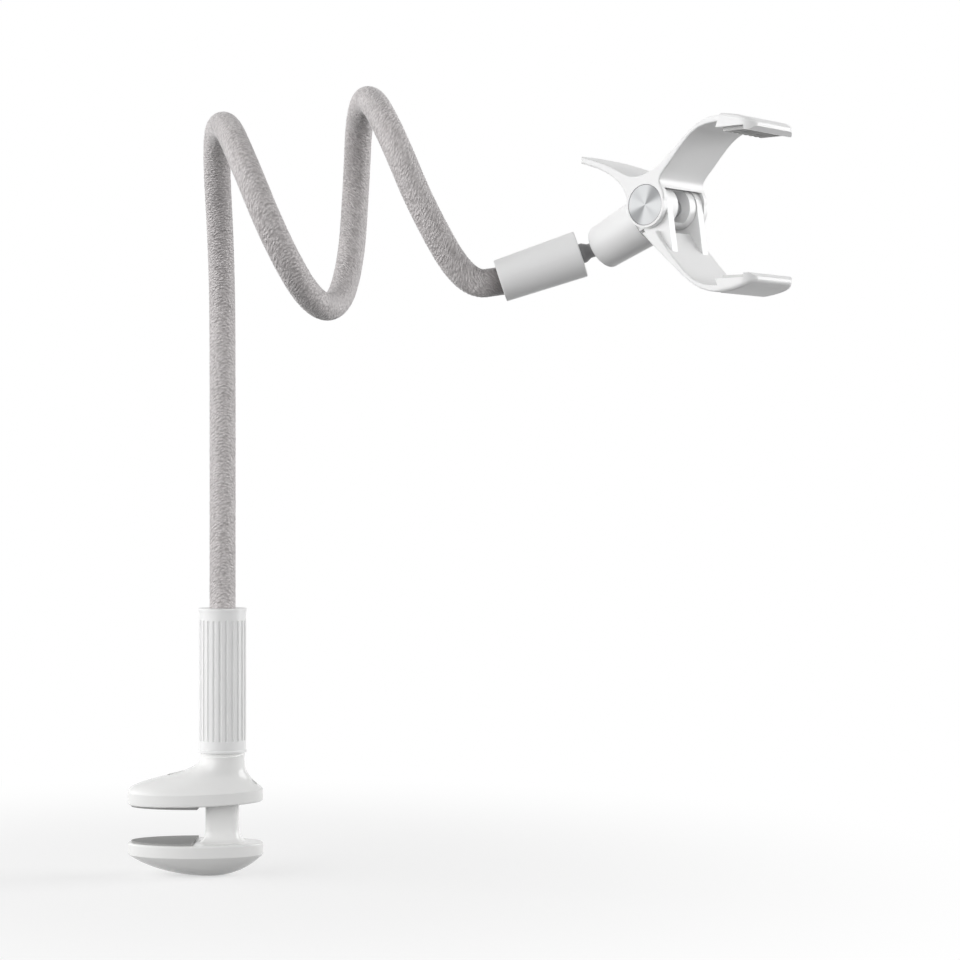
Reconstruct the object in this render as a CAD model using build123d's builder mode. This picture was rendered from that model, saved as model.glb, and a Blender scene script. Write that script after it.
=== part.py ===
from build123d import *
import os
from math import cos, hypot, radians, sin, sqrt, tan

os.makedirs("parts", exist_ok=True)

# Frame: X along the clip's pivot pin, -Y towards the user, Z up.
# The origin is on the clamp's axis, in the plane of the table top.
# The clamp and the neck are laid out on a base plane turned about Z.
CLAMP_YAW = -50.3

# Clearances
RUN = 0.05          # turning and sliding fits, radial
SEAT = 0.05         # pieces pushed into one another, radial
GUIDE = 0.3         # keyed post in its guide, each side
FACE_GAP = 0.3      # shoulders and faces that pass one another
FLAT = 0.01         # tolerance when picking edges by height

# Screw and nut
SCREW_R = 4.0
SCREW_END = 6.0
SCREW_TIP = 1.0         # chamfer
SCREW_HEAD_RIM = 2.5    # past the shank
SCREW_HEAD_H = 4.0
NUT_WALL = 1.8
NUT_H = 12.0
CLIP_RIM = 3.0          # past the shank
CLIP_T = 1.4

# Jaws, seen from above: ovals with the screw's axis towards one end
JAW_LEFT = -54.4
JAW_RIGHT = 23.4
JAW_HALF = 21.0
JAW_WALL = 3.0
JAW_EDGE = 1.0          # rounding
PAD_INSET = 2.0

# Upper jaw
JAW_RIM = 7.0
JAW_TOE = 2.5           # the tip is lower than the heel, degrees
PAD_T = 2.6
PAD_RIGHT = -12.6
BOSS_FROM = 4.0
BOSS_TOP = 31.0
BOSS_STEP = 1.2         # past the spigot
SPIGOT_WALL = 0.85
SPIGOT_H = 4.0
FLANGE_STEP = 0.8       # past the spigot
FLANGE_H = 2.0
# Domed top: height over the rim, then how far the left end, the right end and the sides
# have moved in from the rim, at 0, to the boss, at 1
DOME = [
    (0.0, 0.0, 0.0, 0.0),
    (4.6, 0.12, 0.48, 0.40),
    (7.9, 0.39, 0.73, 0.68),
    (10.6, 0.67, 0.88, 0.86),
    (13.6, 0.88, 0.96, 0.95),
    (17.0, 0.98, 1.0, 1.0),
    (20.0, 1.0, 1.0, 1.0),
]
POCKET_ROOF = 1.0       # the pocket stops this far under the dome's first step
WINDOW_LEFT = 22.9      # from the jaw's left end to the window
WINDOW_L = 9.5
SLIT_RIGHT = 3.6        # from the jaw's right end to the slit
SLIT_L = 3.4
WINDOW_W = 6.4
WINDOW_CORNER = 0.8
WINDOW_FROM = 5.0
TAB_TOP = 16.8          # the pad's tab stands in the window

# Lower jaw and its post
LOWER_TOP = -20.5
LOWER_RIM = 6.9
LOWER_PAD_T = 1.0
LOWER_PAD_RIGHT = -15.6
POST_W = 19.0
POST_WALL = 0.9         # outside the nut
POST_CORNER = 4.0
POST_TOP = 62.0
POST_FLARE = 5.0        # width and height of the post's foot
POST_FLARE_H = 7.4
FLARE_LEVELS = (0.0, 0.08, 0.22, 0.43, 0.70, 1.0)   # shares of its height
POST_BORE_WALL = 0.6    # the bore is narrower than the nut by this
POST_BORE_END = -14.0
COVER_DEPTH = 12.5
COVER_SHIFT = 9.0       # its lowest point lies nearer to the post
COVER_WALL = 2.2
COVER_FIRST = 40        # degrees of the ellipse, where it leaves the plate with an edge
COVER_STEP = 11         # degrees between the levels of its curve
COVER_LAST = 84         # degrees

# Grip
GRIP_L = 82.7
GRIP_WALL = 1.35        # outside the flange
GRIP_RIM = 0.4          # end rims past the barrel
GRIP_RIM_H = 1.0
GRIP_RIM_SLOPE = 0.5
GRIP_BORE_ROOM = 1.05   # round the post's corners
CAP_T = 2.0
CAP_EDGE = 0.8
CAP_PLUG_H = 6.0
SOCKET_WALL = 2.5
WEB_T = 6.0
HEAD_ROOM = 0.5
FLUTES = 24
FOOT_BAND = 6.7
HEAD_BAND = 7.0
FLUTE_R = 1.0
FLUTE_DEPTH = 0.7

# Neck: a steel core in a moulded skin, a straight column and one and a half coils
NECK_R = 7.5
SKIN_WALL = 2.5
CORE_GAP = 0.1
CORE_WALL = 1.5
NECK_CLEAR = 0.3
NECK_DEPTH = 15.5       # in the grip
FERRULE_GAP = 0.1
FERRULE_FLOOR = 2.0
COLUMN_TOP = 299.0
COLUMN_BEND = 85.0
COIL_MID = (17.5, -89.5, 326.5)
COIL_R = 52.6
COIL_PITCH = 78.7
COIL_RISE = 9.67        # degrees
COIL_YAW = -2.33        # degrees
COIL_FIRST = -27.5      # degrees
COIL_STEP = 45.0        # degrees
COIL_CORNERS = 12
COIL_BEND = 54.0
END_BEND = 18.5
END_RUN = 21.1          # from the last corner to the sleeve

# Sleeve on the end of the neck, measured along its axis from the neck's side
SLEEVE_AT = (158.7, -136.5, 291.6)
SLEEVE_L = 44.4
SLEEVE_R1 = 11.2
SLEEVE_R2 = 12.3
SLEEVE_WALL = 1.9
SLEEVE_END = 4.0
SLEEVE_EDGE = 0.6
NECK_IN_SLEEVE = 22.0
CUP_FROM = 6.0
CUP_FLOOR = 2.0
CUP_GAP = 0.2
CUP_STEM_R = 6.0
PLUG_T = 6.2
STUD_R = 3.0
STUD_THREAD = 10.3      # in the cup's stem
SHOULDER_R = 5.2
SHOULDER_T = 1.5
WAIST_R = 3.8
WAIST_TAPER = 2.7

# Ball joint and housing, measured from the ball along the line to the pivot
BALL_FROM_PIVOT = 42.3
HOUSING_DROP = 23.5     # degrees below level, going back
BALL_R = 7.5
SEAT_WALL = 1.5
SEAT_EDGE = 2.2
MOUTH = 2.6
MOUTH_EDGE = 1.0
RING_BACK = 0.6
RING_WALL = 2.7         # outside the ball
RING_FLARE = 0.5        # width and depth of the ring's bevel
HOUSING_WALL = 1.55     # outside the ring
HOUSING_R = 13.0
HOUSING_SHOULDER = 14.0     # before the pivot
TONGUE_R = 10.5
TONGUE_HALF = 10.7
TONGUE_NECK = 7.3
TONGUE_ROOT = 2.0
SPRING_R = 5.0
SPRING_WALL = 1.7
SPRING_HALF = 4.6
SPRING_ROOM = 3.0       # round the spring
SPRING_SIDE = 0.6
PIN_R = 3.0
LOCK_R = 1.5
LOCK_AT = 7.0

# Clip: pivot and the slot for the phone
CLIP_X = 29.8
PIVOT_Y = -292.5
PIVOT_Z = 327.0
SLOT_MID = -2.2         # from the pivot
SLOT_HALF = 35.75
LOWER_LUG_T = 4.8
LOWER_LUG_R = 11.0
HUB_ROOM = 2.0          # round the lower lugs
CHEEK_GAP = 0.4
CHEEK_T = 3.3
LUG_R = 11.6
LUG_JOIN = 1.5          # the arm runs into the lug this far over the pivot
DISC_R = 10.4
DISC_T = 1.0
DISC_RECESS = 1.1
PIN_INSET = 0.3         # under the discs
CLIP_CORNER = 7.5       # jaw corners in plan
CLIP_EDGE = 0.8         # rounding along the arms
JAW_SIDE = 1.4          # the jaws are wider than the arms by this on each side
JAW_ROUND = 2.2         # rounding of the jaws' backs
UPPER = 1               # sides of the slot
LOWER = -1
PAD_SHEET = 0.8
PAD_RIDGE = 1.75
PAD_RIDGES = 8
PAD_RIDGE_W = 2.2
PAD_SIDE = 2.4          # from the jaw's ends
PAD_BACK = 46.0
PAD_FRONT = 60.0
TAIL_BOW = 4.6          # the tail's end is bowed in plan

# Clip outlines as (forward, up) from the pivot
TAIL_LOW = [(-45.1, 25.8), (-35.2, 22.3), (-28.8, 20.0), (-19.9, 15.0), (-14.9, 10.1)]
TAIL_UP = [(-11.8, 16.0), (-16.9, 18.5), (-22.6, 21.4), (-31.2, 24.6), (-45.1, 28.9)]
TAIL_HOLLOW = [(-30.0, 14.0), (-30.0, 18.9), (-23.7, 15.6), (-17.4, 13.2), (-10.5, 11.5), (-4.0, 11.4),
               (-4.0, 0.0)]
ARM_ROOT_IN = [(10.5, 7.3), (8.9, 12.0), (10.9, 15.8)]
ARM_ROOT_OUT = [(8.6, 20.4), (2.5, 16.9), (-4.9, 14.9)]
LOWER_ROOT = [(8.6, -16.8), (6.8, -13.4)]
LOWER_BEND = (6.4, -22.3)
LOWER_TIP = (-2.0, -14.2)

# Clip outlines as (forward, out), out from the slot's edge, the same for both arms
ARM_IN = [(14.5, -13.9), (25.7, -2.1), (32.9, 2.7), (40.0, 4.4), (51.0, 4.9)]
ARM_OUT = [(51.0, 7.0), (45.5, 8.0), (38.8, 7.5), (30.5, 4.3), (21.0, -2.7), (14.0, -8.9)]
JAW_OUT = [(58.5, 6.6), (52.5, 8.0), (46.5, 8.8)]
JAW_IN = [(45.4, 5.2), (44.0, PAD_RIDGE)]
# The jaw's lip is measured forward from the pad
JAW_LIP = [(0.3, PAD_RIDGE), (0.5, -0.45), (2.7, -0.65), (5.1, 1.3), (5.3, 3.4)]

# Sizes that follow from those
nut_r = SCREW_R + NUT_WALL
bore_r = nut_r - POST_BORE_WALL
post_d = 2 * (nut_r + SEAT + POST_WALL)
post_reach = hypot(POST_W / 2 - POST_CORNER, post_d / 2 - POST_CORNER) + POST_CORNER
spigot_r = post_reach + GUIDE + SPIGOT_WALL
boss_r = spigot_r + BOSS_STEP
flange_r = spigot_r + FLANGE_STEP
flange_top = BOSS_TOP + SPIGOT_H + FLANGE_H
window = (JAW_LEFT + WINDOW_LEFT, JAW_LEFT + WINDOW_LEFT + WINDOW_L)
slit = (JAW_RIGHT - SLIT_RIGHT - SLIT_L, JAW_RIGHT - SLIT_RIGHT)
grip_bore_r = post_reach + GRIP_BORE_ROOM
grip_r = flange_r + RUN + GRIP_WALL
grip_rim_r = grip_r + GRIP_RIM
grip_bottom = BOSS_TOP + FACE_GAP
grip_top = grip_bottom + GRIP_L
skirt_top = flange_top + FACE_GAP
cap_under = grip_top - CAP_T
socket_r = grip_r - SOCKET_WALL
neck_foot = grip_top - NECK_DEPTH
web_top = neck_foot - FERRULE_FLOOR - HEAD_ROOM - SCREW_HEAD_H
web_bottom = web_top - WEB_T
skin_in_r = NECK_R - SKIN_WALL
core_r = skin_in_r - CORE_GAP
ferrule_r = socket_r - FERRULE_GAP
sleeve_bore = SLEEVE_R1 - SLEEVE_WALL
cup_r = sleeve_bore - CUP_GAP
cup_to = NECK_IN_SLEEVE + CUP_FLOOR
plug_from = SLEEVE_L - PLUG_T
stud_from = plug_from - STUD_THREAD
shoulder_at = SLEEVE_L + FACE_GAP
waist_from = shoulder_at + SHOULDER_T + WAIST_TAPER
seat_r = BALL_R + SEAT_WALL
ring_r = BALL_R + RING_WALL
ring_mouth_r = sqrt((BALL_R + RUN) ** 2 - MOUTH ** 2) + RING_FLARE
mouth_r = ring_r + HOUSING_WALL
spring_slot_r = SPRING_R + SPRING_ROOM
lower_lug_in = TONGUE_HALF + FACE_GAP
lower_lug_out = lower_lug_in + LOWER_LUG_T
cheek_in = lower_lug_out + CHEEK_GAP
arm_half = cheek_in + CHEEK_T
pin_half = arm_half - DISC_RECESS - PIN_INSET
jaw_half = arm_half + JAW_SIDE
jaw_front = PAD_FRONT + max(n for n, out in JAW_LIP)
pad_half = arm_half - PAD_SIDE
lug_side = (sqrt(LUG_R ** 2 - LUG_JOIN ** 2), LUG_JOIN)
lug_back = (-lug_side[0], LUG_JOIN)

base = Plane.XY.rotated((0, 0, CLAMP_YAW))
jaw_under = base.offset(PAD_T).rotated((0, -JAW_TOE, 0))
clip = Plane(origin=(CLIP_X, PIVOT_Y, PIVOT_Z), x_dir=(0, -1, 0), z_dir=(-1, 0, 0))
drop = radians(HOUSING_DROP)
ball_at = Vector(CLIP_X, PIVOT_Y + BALL_FROM_PIVOT * cos(drop), PIVOT_Z - BALL_FROM_PIVOT * sin(drop))
socket = Plane(origin=ball_at, x_dir=(1, 0, 0), z_dir=(0, -cos(drop), sin(drop)))
sleeve_at = base.from_local_coords(Vector(*SLEEVE_AT))
stud_line = ball_at - sleeve_at
sleeve = Plane(origin=sleeve_at, z_dir=stud_line)
ball_along = stud_line.length


def rod(plane, start, end, r, mode=Mode.ADD):
    """Round bar along a plane's normal, between two distances from the plane."""
    with Locations(plane.offset(start)):
        Cylinder(r, end - start, align=(Align.CENTER, Align.CENTER, Align.MIN), mode=mode)


def taper(plane, start, end, r1, r2, mode=Mode.ADD):
    """Cone along a plane's normal, between two distances from the plane."""
    with Locations(plane.offset(start)):
        Cone(r1, r2, end - start, align=(Align.CENTER, Align.CENTER, Align.MIN), mode=mode)


def oval(plane, left, right, half):
    """Oval between two ends on the plane's x axis."""
    with BuildSketch(plane) as outline:
        with Locations(((left + right) / 2, 0)):
            Ellipse((right - left) / 2, half)
    return outline.sketch


def post_section(plane, extra):
    """The keyed post's section, grown by extra on each side."""
    with BuildSketch(plane) as outline:
        RectangleRounded(POST_W + 2 * extra, post_d + 2 * extra, POST_CORNER + extra)
    return outline.sketch


def post_foot():
    """Levels of the post's flared foot: its width falls off by a quarter of an ellipse."""
    levels = []
    for share in FLARE_LEVELS:
        spread = POST_FLARE * (1 - sqrt(1 - (1 - share) ** 2))
        levels.append(post_section(base.offset(LOWER_TOP + share * POST_FLARE_H), spread))
    return levels


def dome_level(row):
    """One level of the upper jaw's dome: height over the rim, left end, right end, half width."""
    height, left, right, side = row
    return (height, JAW_LEFT + left * (-boss_r - JAW_LEFT), JAW_RIGHT + right * (boss_r - JAW_RIGHT),
            JAW_HALF + side * (boss_r - JAW_HALF))


def bowl(depth, inset):
    """Lower part of an ellipsoid under the lower jaw, as ovals that shrink towards its lowest point."""
    levels = []
    mid = (JAW_LEFT + JAW_RIGHT) / 2
    wide = cos(radians(COVER_FIRST))
    high = sin(radians(COVER_FIRST))
    for turn in range(COVER_FIRST, COVER_LAST + 1, COVER_STEP):
        share = cos(radians(turn)) / wide
        fall = (sin(radians(turn)) - high) / (1 - high)
        at = mid + COVER_SHIFT * (1 - share)
        reach = (JAW_RIGHT - mid - inset) * share
        level = base.offset(LOWER_TOP - LOWER_RIM - depth * fall)
        levels.append(oval(level, at - reach, at + reach, (JAW_HALF - inset) * share))
    return levels


def from_slot(points, side):
    """Outline given from the slot's edge, for the upper arm or the lower arm."""
    return [(n, SLOT_MID + side * (SLOT_HALF + out)) for n, out in points]


def clip_jaw(side):
    """Jaw across the end of a clip arm: a bar with a lip, rounded in plan and along its back."""
    lip = from_slot([(PAD_FRONT + n, out) for n, out in JAW_LIP], side)
    back = from_slot(JAW_OUT, side)
    with BuildPart() as jaw:
        with BuildSketch(clip.offset(-jaw_half)) as section:
            with BuildLine():
                Spline(lip[-1], *back)
                Polyline(back[-1], *from_slot(JAW_IN, side), *lip)
            make_face()
        extrude(section.sketch, amount=2 * jaw_half)
        with BuildSketch(Plane.XY) as plan:
            with Locations((CLIP_X, PIVOT_Y - jaw_front)):
                RectangleRounded(2 * jaw_half, jaw_front, CLIP_CORNER, align=(Align.CENTER, Align.MIN))
        extrude(plan.sketch, amount=2 * PIVOT_Z, mode=Mode.INTERSECT)
        crown = jaw.faces().filter_by(GeomType.EXTRUSION).sort_by(SortBy.AREA)[-1]
        fillet(crown.edges().sort_by(Axis.Y)[:-1], JAW_ROUND)
    return jaw.part


def round_sides(arm):
    """Rounds the curved edges along both sides of a clip arm."""
    for side in (CLIP_X - arm_half, CLIP_X + arm_half):
        curves = arm.edges().filter_by(GeomType.BSPLINE)
        fillet(curves.filter_by_position(Axis.X, side - FLAT, side + FLAT), CLIP_EDGE)


def grip_pad(side):
    """Ribbed rubber in a clip jaw, ridges across the phone's edge."""
    step = (2 * pad_half - PAD_RIDGE_W) / (PAD_RIDGES - 1)
    bars = [(PAD_SHEET, 2 * pad_half, 0)]
    bars += [(PAD_RIDGE, PAD_RIDGE_W, PAD_RIDGE_W / 2 - pad_half + step * k) for k in range(PAD_RIDGES)]
    for thick, width, at in bars:
        up = SLOT_MID + side * (SLOT_HALF + PAD_RIDGE - thick / 2)
        with Locations((CLIP_X + at, PIVOT_Y - (PAD_BACK + PAD_FRONT) / 2, PIVOT_Z + up)):
            Box(width, PAD_FRONT - PAD_BACK, thick)


def coil_corner(angle):
    """Corner of the polygon round the neck's coil; angle 0 is the top, 90 the front."""
    rise = radians(COIL_RISE)
    yaw = radians(COIL_YAW)
    turn = radians(angle)
    along = Vector(cos(rise) * cos(yaw), cos(rise) * sin(yaw), sin(rise))
    up = (Vector(0, 0, 1) - along * along.Z).normalized()
    front = up.cross(along)
    if front.Y > 0:
        front = front * -1
    out = COIL_R / cos(radians(COIL_STEP / 2))
    centre = Vector(*COIL_MID) + along * (COIL_PITCH * angle / 360)
    return tuple(centre + up * (out * cos(turn)) + front * (out * sin(turn)))


sleeve_dir = base.to_local_coords(ball_at) - Vector(*SLEEVE_AT)
neck_end = Vector(*SLEEVE_AT) + sleeve_dir.normalized() * NECK_IN_SLEEVE
end_corner = Vector(*SLEEVE_AT) - sleeve_dir.normalized() * END_RUN
NECK_POINTS = [(0, 0, neck_foot), (0, 0, COLUMN_TOP)]
NECK_POINTS += [coil_corner(COIL_FIRST + COIL_STEP * k) for k in range(COIL_CORNERS)]
NECK_POINTS += [tuple(end_corner), tuple(neck_end)]
NECK_RADII = [COLUMN_BEND] + [COIL_BEND] * COIL_CORNERS + [END_BEND]


def neck_tube(outer, inner):
    """Tube along the neck's route."""
    with BuildLine(base) as route:
        FilletPolyline(*NECK_POINTS, radius=NECK_RADII)
    with BuildSketch(base.offset(neck_foot)) as section:
        Circle(outer)
        Circle(inner, mode=Mode.SUBTRACT)
    sweep(section.sketch, path=route.wire())


# Upper jaw: domed plate with the boss that the grip turns on and the guide for the post
with BuildPart() as upper_jaw:
    extrude(oval(jaw_under, JAW_LEFT, JAW_RIGHT, JAW_HALF), amount=JAW_RIM)
    fillet(upper_jaw.edges().sort_by(Axis.Z)[0], JAW_EDGE)
    levels = []
    for row in DOME:
        height, left, right, half = dome_level(row)
        lean = (JAW_RIM + height) * tan(radians(JAW_TOE)) * height / DOME[-1][0]
        levels.append(oval(jaw_under.offset(JAW_RIM + height), left + lean, right + lean, half))
    loft(levels)
    wall = JAW_WALL
    hollow = oval(jaw_under, JAW_LEFT + wall, JAW_RIGHT - wall, JAW_HALF - wall)
    extrude(hollow, amount=JAW_RIM, mode=Mode.SUBTRACT)
    height, left, right, half = dome_level(DOME[1])
    roof = oval(jaw_under.offset(JAW_RIM), left + wall, right - wall, half - wall)
    extrude(roof, amount=height - POCKET_ROOF, mode=Mode.SUBTRACT)
    rod(base, BOSS_FROM, BOSS_TOP, boss_r)
    rod(base, BOSS_TOP, BOSS_TOP + SPIGOT_H, spigot_r)
    rod(base, BOSS_TOP + SPIGOT_H, flange_top, flange_r)
    extrude(post_section(base, GUIDE), amount=flange_top, mode=Mode.SUBTRACT)
    for left, right in (window, slit):
        with BuildSketch(base.offset(WINDOW_FROM)):
            with Locations(((left + right) / 2, 0)):
                RectangleRounded(right - left, WINDOW_W, WINDOW_CORNER)
        extrude(amount=BOSS_TOP, mode=Mode.SUBTRACT)
upper_jaw.part.label = "upper_jaw"
export_step(upper_jaw.part, "parts/upper_jaw.step")

# Rubber pad under the upper jaw, held by a tab that comes up through the jaw's window
with BuildPart() as upper_jaw_pad:
    extrude(oval(base, JAW_LEFT + PAD_INSET, JAW_RIGHT - PAD_INSET, JAW_HALF - PAD_INSET), amount=PAD_T * 3)
    split(bisect_by=jaw_under, keep=Keep.BOTTOM)
    with BuildSketch(base):
        with Locations((PAD_RIGHT, 0)):
            Rectangle(JAW_RIGHT - PAD_RIGHT, 2 * JAW_HALF, align=(Align.MIN, Align.CENTER))
    extrude(amount=PAD_T * 3, mode=Mode.SUBTRACT)
    left, right = window
    with BuildSketch(base.offset(PAD_T / 4)):
        with Locations(((left + right) / 2, 0)):
            Rectangle(right - left - 2 * FACE_GAP, WINDOW_W - 2 * FACE_GAP)
    extrude(amount=TAB_TOP - PAD_T / 4)
upper_jaw_pad.part.label = "upper_jaw_pad"
export_step(upper_jaw_pad.part, "parts/upper_jaw_pad.step")

# Lower jaw: plate and hollow post in one moulding
with BuildPart() as lower_jaw:
    extrude(oval(base.offset(LOWER_TOP - LOWER_RIM), JAW_LEFT, JAW_RIGHT, JAW_HALF), amount=LOWER_RIM)
    fillet(lower_jaw.edges().sort_by(Axis.Z)[-1], JAW_EDGE)
    extrude(post_section(base.offset(LOWER_TOP), 0), amount=POST_TOP - LOWER_TOP)
    loft(post_foot())
    wall = JAW_WALL
    hollow = oval(base.offset(LOWER_TOP - LOWER_RIM), JAW_LEFT + wall, JAW_RIGHT - wall, JAW_HALF - wall)
    extrude(hollow, amount=LOWER_RIM - wall, mode=Mode.SUBTRACT)
    rod(base, POST_BORE_END, POST_TOP, bore_r, Mode.SUBTRACT)
    rod(base, POST_TOP - NUT_H, POST_TOP, nut_r + SEAT, Mode.SUBTRACT)
lower_jaw.part.label = "lower_jaw"
export_step(lower_jaw.part, "parts/lower_jaw.step")

# Domed cover snapped under the lower jaw
with BuildPart() as lower_jaw_cover:
    loft(bowl(COVER_DEPTH, 0))
    loft(bowl(COVER_DEPTH - COVER_WALL, COVER_WALL), mode=Mode.SUBTRACT)
lower_jaw_cover.part.label = "lower_jaw_cover"
export_step(lower_jaw_cover.part, "parts/lower_jaw_cover.step")

# Rubber pad on the lower jaw
with BuildPart() as lower_jaw_pad:
    inset = PAD_INSET
    sheet = oval(base.offset(LOWER_TOP), JAW_LEFT + inset, JAW_RIGHT - inset, JAW_HALF - inset)
    extrude(sheet, amount=LOWER_PAD_T)
    with BuildSketch(base.offset(LOWER_TOP)):
        with Locations((LOWER_PAD_RIGHT, 0)):
            Rectangle(JAW_RIGHT - LOWER_PAD_RIGHT, 2 * JAW_HALF, align=(Align.MIN, Align.CENTER))
    extrude(amount=LOWER_PAD_T, mode=Mode.SUBTRACT)
lower_jaw_pad.part.label = "lower_jaw_pad"
export_step(lower_jaw_pad.part, "parts/lower_jaw_pad.step")

# Brass nut pressed into the top of the post
with BuildPart() as jaw_nut:
    rod(base, POST_TOP - NUT_H, POST_TOP, nut_r)
    rod(base, POST_TOP - NUT_H, POST_TOP, SCREW_R + RUN, Mode.SUBTRACT)
jaw_nut.part.label = "jaw_nut"
export_step(jaw_nut.part, "parts/jaw_nut.step")

# Lead screw hanging from the web in the grip
with BuildPart() as clamp_screw:
    rod(base, SCREW_END, web_top, SCREW_R)
    with BuildSketch(base.offset(web_top)):
        RegularPolygon(SCREW_R + SCREW_HEAD_RIM, 6)
    extrude(amount=SCREW_HEAD_H)
    chamfer(clamp_screw.edges().sort_by(Axis.Z)[0], SCREW_TIP)
clamp_screw.part.label = "clamp_screw"
export_step(clamp_screw.part, "parts/clamp_screw.step")

# Retaining clip on the screw, under the web
with BuildPart() as screw_clip:
    rod(base, web_bottom - CLIP_T, web_bottom, SCREW_R + CLIP_RIM)
    rod(base, web_bottom - CLIP_T, web_bottom, SCREW_R + SEAT, Mode.SUBTRACT)
screw_clip.part.label = "screw_clip"
export_step(screw_clip.part, "parts/screw_clip.step")

# Grip: fluted sleeve that turns on the jaw's spigot
with BuildPart() as grip:
    with BuildSketch(Plane.XZ):
        with BuildLine():
            rim_top = grip_bottom + GRIP_RIM_H
            Polyline((flange_r + RUN, grip_bottom), (grip_rim_r, grip_bottom), (grip_rim_r, rim_top),
                     (grip_r, rim_top + GRIP_RIM_SLOPE), (grip_r, cap_under), (socket_r, cap_under),
                     (socket_r, web_top), (SCREW_R + SEAT, web_top), (SCREW_R + SEAT, web_bottom),
                     (grip_bore_r, web_bottom), (grip_bore_r, skirt_top), (flange_r + RUN, skirt_top),
                     close=True)
        make_face()
    revolve(axis=Axis.Z)
    with BuildSketch(base.offset(grip_bottom + FOOT_BAND)):
        with PolarLocations(grip_r + FLUTE_R - FLUTE_DEPTH, FLUTES):
            Circle(FLUTE_R)
    extrude(amount=GRIP_L - FOOT_BAND - HEAD_BAND, mode=Mode.SUBTRACT)
grip.part.label = "grip"
export_step(grip.part, "parts/grip.step")

# Collar in the foot of the grip, caught under the spigot's flange
with BuildPart() as grip_collar:
    rod(base, grip_bottom, BOSS_TOP + SPIGOT_H - FACE_GAP, flange_r)
    rod(base, grip_bottom, BOSS_TOP + SPIGOT_H - FACE_GAP, spigot_r + RUN, Mode.SUBTRACT)
grip_collar.part.label = "grip_collar"
export_step(grip_collar.part, "parts/grip_collar.step")

# Cap on the grip that keeps the neck's ferrule in its socket
with BuildPart() as grip_cap:
    rod(base, cap_under, grip_top, grip_rim_r)
    fillet(grip_cap.edges().sort_by(Axis.Z)[-1], CAP_EDGE)
    rod(base, cap_under - CAP_PLUG_H, cap_under, socket_r - SEAT)
    rod(base, cap_under - CAP_PLUG_H, grip_top, NECK_R + NECK_CLEAR, Mode.SUBTRACT)
grip_cap.part.label = "grip_cap"
export_step(grip_cap.part, "parts/grip_cap.step")

# Steel ferrule on the foot of the neck, turning in the grip's socket
with BuildPart() as neck_ferrule:
    rod(base, neck_foot - FERRULE_FLOOR, cap_under - CAP_PLUG_H - FACE_GAP, ferrule_r)
    rod(base, neck_foot, grip_top, NECK_R + SEAT, Mode.SUBTRACT)
neck_ferrule.part.label = "neck_ferrule"
export_step(neck_ferrule.part, "parts/neck_ferrule.step")

# Spiral steel core of the neck
with BuildPart() as neck_core:
    neck_tube(core_r, core_r - CORE_WALL)
neck_core.part.label = "neck_core"
export_step(neck_core.part, "parts/neck_core.step")

# Moulded skin of the neck
with BuildPart() as neck_skin:
    neck_tube(NECK_R, skin_in_r)
neck_skin.part.label = "neck_skin"
export_step(neck_skin.part, "parts/neck_skin.step")

# Cup on the far end of the neck, with the thread for the ball stud
with BuildPart() as neck_cup:
    rod(sleeve, CUP_FROM, cup_to, cup_r)
    rod(sleeve, cup_to, plug_from, CUP_STEM_R)
    rod(sleeve, CUP_FROM, NECK_IN_SLEEVE, NECK_R + SEAT, Mode.SUBTRACT)
    rod(sleeve, stud_from, plug_from, STUD_R + RUN, Mode.SUBTRACT)
neck_cup.part.label = "neck_cup"
export_step(neck_cup.part, "parts/neck_cup.step")

# Sleeve over the end of the neck
with BuildPart() as end_sleeve:
    taper(sleeve, 0, SLEEVE_L, SLEEVE_R1, SLEEVE_R2)
    fillet(end_sleeve.edges(), SLEEVE_EDGE)
    rod(sleeve, SLEEVE_END, SLEEVE_L, sleeve_bore, Mode.SUBTRACT)
    rod(sleeve, 0, SLEEVE_END, NECK_R + NECK_CLEAR, Mode.SUBTRACT)
end_sleeve.part.label = "end_sleeve"
export_step(end_sleeve.part, "parts/end_sleeve.step")

# Plug that closes the sleeve round the stud
with BuildPart() as sleeve_plug:
    rod(sleeve, plug_from, SLEEVE_L, sleeve_bore - SEAT)
    rod(sleeve, plug_from, SLEEVE_L, STUD_R + RUN, Mode.SUBTRACT)
sleeve_plug.part.label = "sleeve_plug"
export_step(sleeve_plug.part, "parts/sleeve_plug.step")

# Ball stud
with BuildPart() as ball_stud:
    rod(sleeve, stud_from, shoulder_at, STUD_R)
    rod(sleeve, shoulder_at, shoulder_at + SHOULDER_T, SHOULDER_R)
    taper(sleeve, shoulder_at + SHOULDER_T, waist_from, SHOULDER_R, WAIST_R)
    rod(sleeve, waist_from, ball_along, WAIST_R)
    with Locations(ball_at):
        Sphere(BALL_R)
ball_stud.part.label = "ball_stud"
export_step(ball_stud.part, "parts/ball_stud.step")

# Nylon cup behind the ball
with BuildPart() as ball_seat:
    with Locations(ball_at):
        Sphere(seat_r)
    split(bisect_by=socket.offset(SEAT_EDGE), keep=Keep.TOP)
    with Locations(ball_at):
        Sphere(BALL_R + RUN, mode=Mode.SUBTRACT)
ball_seat.part.label = "ball_seat"
export_step(ball_seat.part, "parts/ball_seat.step")

# Ring that holds the ball in the mouth of the housing
with BuildPart() as socket_ring:
    rod(socket, -MOUTH, -RING_BACK, ring_r)
    taper(socket, -MOUTH, RING_FLARE - MOUTH, ring_mouth_r, ring_mouth_r - RING_FLARE, Mode.SUBTRACT)
    with Locations(ball_at):
        Sphere(BALL_R + RUN, mode=Mode.SUBTRACT)
socket_ring.part.label = "socket_ring"
export_step(socket_ring.part, "parts/socket_ring.step")

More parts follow.
